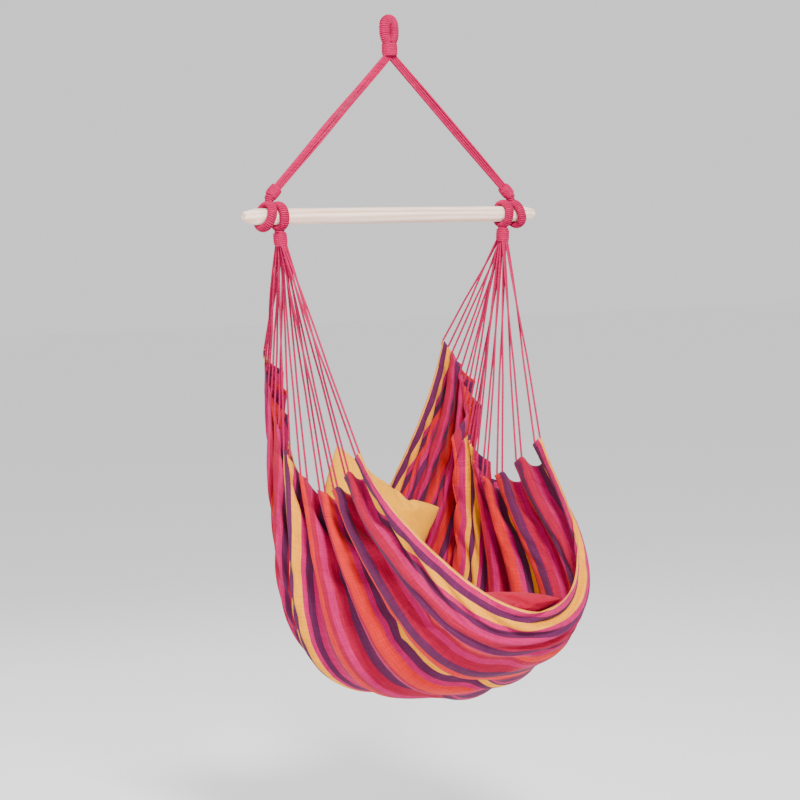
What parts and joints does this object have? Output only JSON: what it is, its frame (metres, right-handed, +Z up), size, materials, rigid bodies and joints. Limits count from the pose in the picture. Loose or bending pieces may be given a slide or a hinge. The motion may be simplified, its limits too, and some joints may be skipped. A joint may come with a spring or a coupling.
{
  "type": "hanging hammock chair",
  "caption": "Cloth hammock chair hung by cord fans from a wooden spreader bar under one rope eye, with a seat cushion and a back cushion.",
  "frame": {"origin": "the inside top of the hanging eye, where a ceiling hook bears", "axes": "+Z up, X along the spreader bar, -Y out of the open front of the seat"},
  "size_m": [0.844, 0.779, 1.6348],
  "materials": {
    "wood": "bare turned softwood, lightly sanded",
    "rope": "twisted cotton cord, crimson pink",
    "whipping_cord": "tight turns of thin cotton cord",
    "striped_cloth": "woven cotton with pink, purple, red, orange and yellow stripes",
    "red_cloth": "plain woven red cotton",
    "yellow_cloth": "plain woven yellow cotton"
  },
  "bodies": {
    "suspension": {"top_eye": "whipping_cord", "top_neck_whipping": "whipping_cord", "left_suspension_cords": "rope", "left_upper_whipping": "whipping_cord", "left_upper_eye": "whipping_cord", "right_suspension_cords": "rope", "right_upper_whipping": "whipping_cord", "right_upper_eye": "whipping_cord"},
    "bar": {"spreader_bar": "wood"},
    "seat": {"left_lower_eye": "whipping_cord", "left_lower_whipping": "whipping_cord", "left_cord_01": "rope", "left_cord_02": "rope", "left_cord_03": "rope", "left_cord_04": "rope", "left_cord_05": "rope", "left_cord_06": "rope", "left_cord_07": "rope", "left_cord_08": "rope", "left_cord_09": "rope", "left_cord_10": "rope", "right_lower_eye": "whipping_cord", "right_lower_whipping": "whipping_cord", "right_cord_01": "rope", "right_cord_02": "rope", "right_cord_03": "rope", "right_cord_04": "rope", "right_cord_05": "rope", "right_cord_06": "rope", "right_cord_07": "rope", "right_cord_08": "rope", "right_cord_09": "rope", "right_cord_10": "rope", "seat_cloth": "striped_cloth"},
    "loose_seat_cushion": {"seat_cushion": "red_cloth"},
    "loose_back_cushion": {"back_cushion": "yellow_cloth"}
  },
  "joints": [
    {"name": "bar_slide", "type": "slide", "parent": "suspension", "child": "bar", "axis": [1, 0, 0], "range_m": [-0.03, 0.03]},
    {"name": "seat_swing", "type": "hinge", "parent": "suspension", "child": "seat", "pos_m": [0, 0, -0.452], "axis": [1, 0, 0], "range_deg": [-25, 25]},
    {"name": "seat_cushion_lift", "type": "slide", "parent": "seat", "child": "loose_seat_cushion", "axis": [0, 0.3, 0.9539], "range_m": [0, 0.2]},
    {"name": "back_cushion_lift", "type": "slide", "parent": "seat", "child": "loose_back_cushion", "axis": [0, 0, 1], "range_m": [0, 0.25]}
  ]
}
